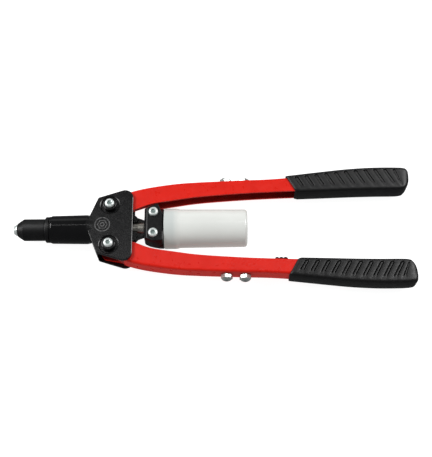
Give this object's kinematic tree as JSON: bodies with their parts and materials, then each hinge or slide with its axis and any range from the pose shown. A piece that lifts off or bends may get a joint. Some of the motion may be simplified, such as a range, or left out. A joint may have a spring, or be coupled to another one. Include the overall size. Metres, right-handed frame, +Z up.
{
  "type": "hand riveter",
  "caption": "Long-arm blind rivet tool: two hinged handles pull a draw bar and jaws through toggle links, with a bottle behind them for spent mandrels.",
  "frame": {"origin": "middle of the tool's plan outline, on the surface it lies on with its arms closed", "axes": "+X from the nose to the grips, +Y towards the right arm, +Z up"},
  "size_m": [0.4376, 0.137, 0.0444],
  "materials": {
    "black_paint": "semi-gloss black enamel on a casting",
    "black_oxide": "satin black oxide on turned steel",
    "zinc_plate": "bright zinc plating",
    "red_paint": "gloss red powder coat on pressed steel",
    "grip_rubber": "matte black moulded rubber",
    "milky_plastic": "milky white translucent plastic",
    "bright_steel": "machined steel"
  },
  "bodies": {
    "head": {"head_body": "black_paint", "nose_housing": "black_oxide", "lock_ring": "black_oxide", "nosepiece": "zinc_plate", "right_pivot_pin": "bright_steel", "right_pivot_bush_top": "black_paint", "right_pivot_bush_bottom": "black_paint", "right_pivot_screw_top": "zinc_plate", "right_pivot_screw_bottom": "zinc_plate", "left_pivot_pin": "bright_steel", "left_pivot_bush_top": "black_paint", "left_pivot_bush_bottom": "black_paint", "left_pivot_screw_top": "zinc_plate", "left_pivot_screw_bottom": "zinc_plate"},
    "right_handle": {"right_arm": "red_paint", "right_link_pin": "bright_steel", "right_grip": "grip_rubber", "right_spare_nosepiece_1": "zinc_plate", "right_spare_nosepiece_2": "zinc_plate", "right_weld_nut_1": "bright_steel", "right_weld_nut_2": "bright_steel"},
    "left_handle": {"left_arm": "red_paint", "left_link_pin": "bright_steel", "left_grip": "grip_rubber", "left_spare_nosepiece_1": "zinc_plate", "left_spare_nosepiece_2": "zinc_plate", "left_weld_nut_1": "bright_steel", "left_weld_nut_2": "bright_steel", "left_stop_buffer": "grip_rubber"},
    "draw": {"draw_bar": "black_paint", "mandrel_tube": "bright_steel", "draw_collar": "zinc_plate", "jaw_case": "bright_steel", "bottle_holder": "black_paint", "right_holder_screw": "zinc_plate", "left_holder_screw": "zinc_plate", "right_crosshead_pin": "bright_steel", "left_crosshead_pin": "bright_steel"},
    "right_toggle": {"right_toggle_link_top": "bright_steel", "right_toggle_link_bottom": "bright_steel"},
    "left_toggle": {"left_toggle_link_top": "bright_steel", "left_toggle_link_bottom": "bright_steel"},
    "pusher": {"jaw_pusher": "bright_steel", "jaw_spring": "bright_steel"},
    "jaw_1": {"jaw_1": "bright_steel"},
    "jaw_2": {"jaw_2": "bright_steel"},
    "jaw_3": {"jaw_3": "bright_steel"},
    "bottle": {"bottle": "milky_plastic"}
  },
  "joints": [
    {"name": "right_handle_swing", "type": "hinge", "parent": "head", "child": "right_handle", "pos_m": [-0.113, 0.0232, 0.0222], "axis": [0, 0, 1], "range_deg": [0, 42]},
    {"name": "left_handle_swing", "type": "hinge", "parent": "head", "child": "left_handle", "pos_m": [-0.113, -0.0232, 0.0222], "axis": [0, 0, -1], "range_deg": [0, 42]},
    {"name": "draw_slide", "type": "slide", "parent": "head", "child": "draw", "axis": [-1, 0, 0], "range_m": [0, 0.0124]},
    {"name": "right_toggle_swing", "type": "hinge", "parent": "draw", "child": "right_toggle", "pos_m": [-0.086, 0.009, 0.0222], "axis": [0, 0, -1], "range_deg": [0, 25]},
    {"name": "left_toggle_swing", "type": "hinge", "parent": "draw", "child": "left_toggle", "pos_m": [-0.086, -0.009, 0.0222], "axis": [0, 0, 1], "range_deg": [0, 25]},
    {"name": "jaw_pusher_slide", "type": "slide", "parent": "draw", "child": "pusher", "axis": [1, 0, 0], "range_m": [0, 0.003], "stiffness_N_per_m": 2000, "springref_m": -0.002, "deforming": ["jaw_spring"]},
    {"name": "jaw_1_slide", "type": "slide", "parent": "draw", "child": "jaw_1", "axis": [0.9903, 0.1392, 0], "range_m": [0, 0.0031]},
    {"name": "jaw_2_slide", "type": "slide", "parent": "draw", "child": "jaw_2", "axis": [0.9903, -0.0696, 0.1205], "range_m": [0, 0.0031]},
    {"name": "jaw_3_slide", "type": "slide", "parent": "draw", "child": "jaw_3", "axis": [0.9903, -0.0696, -0.1205], "range_m": [0, 0.0031]},
    {"name": "bottle_pull", "type": "slide", "parent": "draw", "child": "bottle", "axis": [1, 0, 0], "range_m": [0, 0.014]}
  ],
  "couplings": [
    {"joint": "left_handle_swing", "follows": "right_handle_swing", "ratio": 1},
    {"joint": "draw_slide", "follows": "right_handle_swing", "m_per_rad": 0.016614},
    {"joint": "right_toggle_swing", "follows": "right_handle_swing", "ratio": 0.53},
    {"joint": "left_toggle_swing", "follows": "right_handle_swing", "ratio": 0.53},
    {"joint": "jaw_1_slide", "follows": "jaw_pusher_slide", "ratio": 1.0098},
    {"joint": "jaw_2_slide", "follows": "jaw_pusher_slide", "ratio": 1.0098},
    {"joint": "jaw_3_slide", "follows": "jaw_pusher_slide", "ratio": 1.0098}
  ]
}
